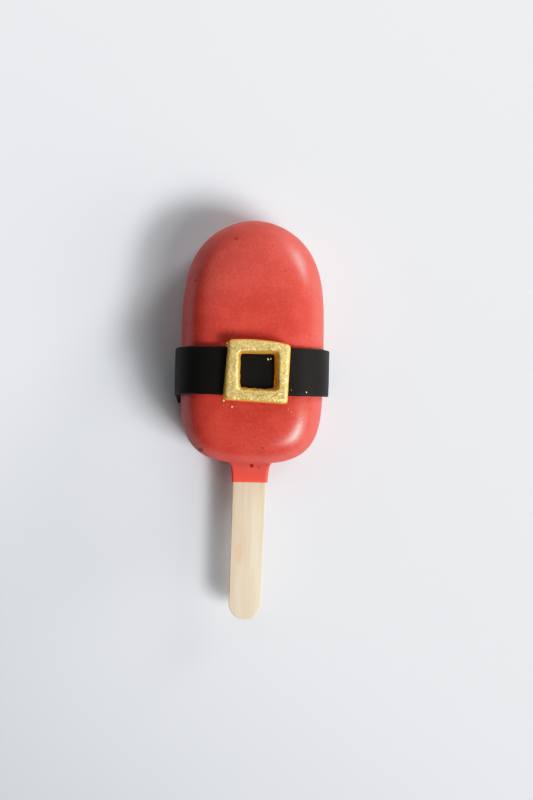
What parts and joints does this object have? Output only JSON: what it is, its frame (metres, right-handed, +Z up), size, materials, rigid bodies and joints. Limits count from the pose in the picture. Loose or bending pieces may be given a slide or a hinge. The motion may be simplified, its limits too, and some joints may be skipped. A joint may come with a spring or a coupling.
{
  "type": "cakesicle",
  "caption": "Cake on a wooden stick in a red chocolate coating, with a black fondant belt and a square gold fondant buckle, lying on its flat back.",
  "frame": {"origin": "middle of the bounding box in X and Y, on the surface that the part lies on, which is under the coated body near its stick end", "axes": "+Z up out of the decorated front, +Y from the stick's free end to the body's round end, +X to the right seen from the front with the stick pointing down"},
  "size_m": [0.047, 0.1206, 0.0293],
  "materials": {
    "red_chocolate": "smooth red chocolate coating, satin sheen",
    "stick_wood": "bare pale birch, fine straight grain",
    "black_fondant": "rolled black fondant, matte",
    "gold_fondant": "fondant painted with gold lustre, fine glitter"
  },
  "bodies": {
    "root": {"coated_body": "red_chocolate", "stick": "stick_wood", "belt": "black_fondant", "buckle": "gold_fondant"}
  },
  "joints": []
}
